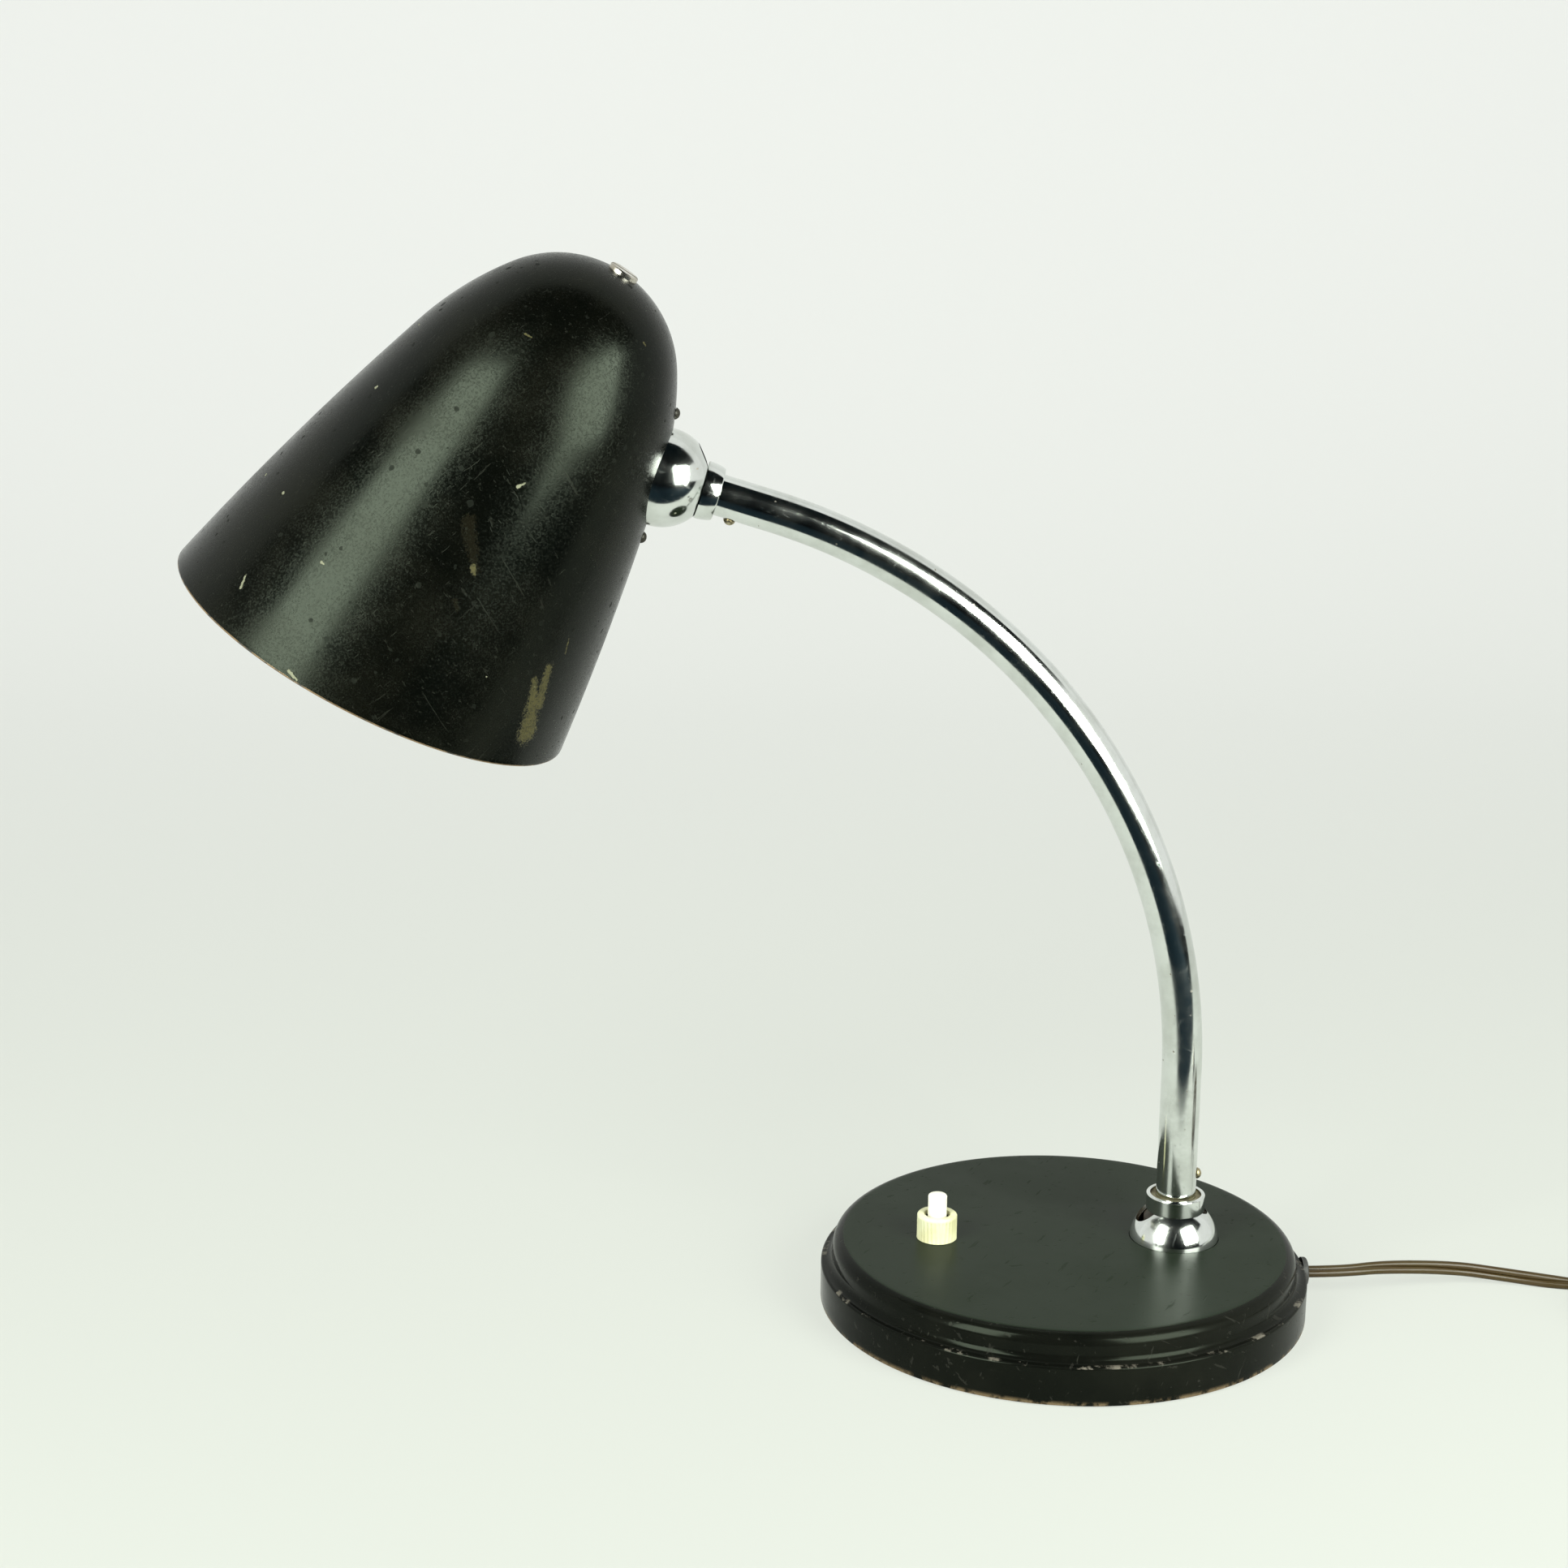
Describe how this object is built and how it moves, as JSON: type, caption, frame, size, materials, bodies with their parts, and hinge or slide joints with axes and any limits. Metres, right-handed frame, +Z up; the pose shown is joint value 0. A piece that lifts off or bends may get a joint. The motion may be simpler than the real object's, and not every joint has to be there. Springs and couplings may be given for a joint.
{
  "type": "desk lamp",
  "caption": "Desk lamp with a black bullet shade on a bent chrome tube, slotted dome joints, a round weighted base with a push switch, and a twin cord with a plug.",
  "frame": {"origin": "centre of the felt pad's lower face, which the lamp rests on", "axes": "+Z up; +X from the switch's side to the cord's side, with the arm standing at +X and the shade over -X; +Y across the arm's plane"},
  "size_m": [0.5432, 0.2319, 0.3408],
  "materials": {
    "black_enamel": "semi-gloss black enamel, worn at its edges",
    "chrome_plate": "bright plate, lightly pitted",
    "zinc_steel": "zinc-plated",
    "dark_steel": "blackened",
    "nickel_steel": "dull nickel",
    "ballast_iron": "as cast, painted grey",
    "aged_brass": "aged",
    "aluminium_block": "machined",
    "ivory_plastic": "yellowed ivory",
    "white_plastic": "aged white",
    "black_plastic": "moulded black",
    "block_plastic": "pale moulded block",
    "porcelain": "unglazed white",
    "grommet_rubber": "soft black",
    "brown_flex": "soft brown covering",
    "white_flex": "white covering",
    "felt": "dark felt"
  },
  "bodies": {
    "base": {"base_shell": "black_enamel", "ballast_weight": "ballast_iron", "bottom_cover": "zinc_steel", "felt_pad": "felt", "cover_screws": "zinc_steel", "base_clamp_plate": "zinc_steel", "base_clamp_screws": "zinc_steel", "switch_housing": "black_plastic", "switch_base": "black_plastic", "switch_terminals": "aged_brass", "switch_collar_nut": "ivory_plastic", "switch_spring": "nickel_steel", "terminal_block": "block_plastic", "terminal_block_screws": "aged_brass", "base_lead": "white_flex", "switch_leads": "brown_flex", "inner_cord": "brown_flex", "cord_grip": "block_plastic", "cord_grip_screws": "zinc_steel", "cord_grommet": "grommet_rubber", "cord_free": "brown_flex", "cord_coil": "brown_flex", "cord_tail": "brown_flex", "plug_body": "black_plastic", "plug_pins": "nickel_steel"},
    "button": {"switch_button": "white_plastic", "contact_ring": "aged_brass"},
    "lower_dome": {"base_dome": "chrome_plate"},
    "arm": {"arm_tube": "chrome_plate", "arm_lead": "white_flex", "base_collar": "chrome_plate", "base_saddle": "chrome_plate", "base_stem": "zinc_steel", "base_stem_nut": "zinc_steel", "base_spring_washer": "nickel_steel", "base_set_screw": "aged_brass", "head_collar": "chrome_plate", "head_saddle": "chrome_plate", "head_stem": "zinc_steel", "head_stem_nut": "zinc_steel", "head_spring_washer": "nickel_steel", "head_set_screw": "aged_brass"},
    "upper_dome": {"head_dome": "chrome_plate"},
    "head": {"shade": "black_enamel", "seat_spacer": "aluminium_block", "head_clamp_plate": "zinc_steel", "head_screws": "dark_steel", "crown_screw": "nickel_steel", "crown_washer": "zinc_steel", "holder_stem": "aged_brass", "holder_cap": "black_plastic", "holder_body": "black_plastic", "lamp_sleeve": "aged_brass", "holder_insert": "porcelain", "holder_contact": "aged_brass", "holder_terminal_screws": "aged_brass", "head_lead": "white_flex"}
  },
  "joints": [
    {"name": "base_swivel", "type": "hinge", "parent": "base", "child": "lower_dome", "pos_m": [0.0368, 0, 0.0206], "axis": [0, 0, 1], "range_deg": [-170, 170]},
    {"name": "arm_tilt", "type": "hinge", "parent": "lower_dome", "child": "arm", "pos_m": [0.0368, 0, 0.0206], "axis": [0, 1, 0], "range_deg": [-37, 24]},
    {"name": "head_tilt", "type": "hinge", "parent": "arm", "child": "upper_dome", "pos_m": [-0.13278, 0, 0.27318], "axis": [0, 1, 0], "range_deg": [-11, 37]},
    {"name": "head_swivel", "type": "hinge", "parent": "upper_dome", "child": "head", "pos_m": [-0.13278, 0, 0.27318], "axis": [0.9563, 0, -0.2924], "range_deg": [-170, 170]},
    {"name": "switch_press", "type": "slide", "parent": "base", "child": "button", "axis": [0, 0, -1], "range_m": [0, 0.003], "stiffness_N_per_m": 400, "springref_m": -0.003, "deforming": ["switch_spring"]}
  ]
}
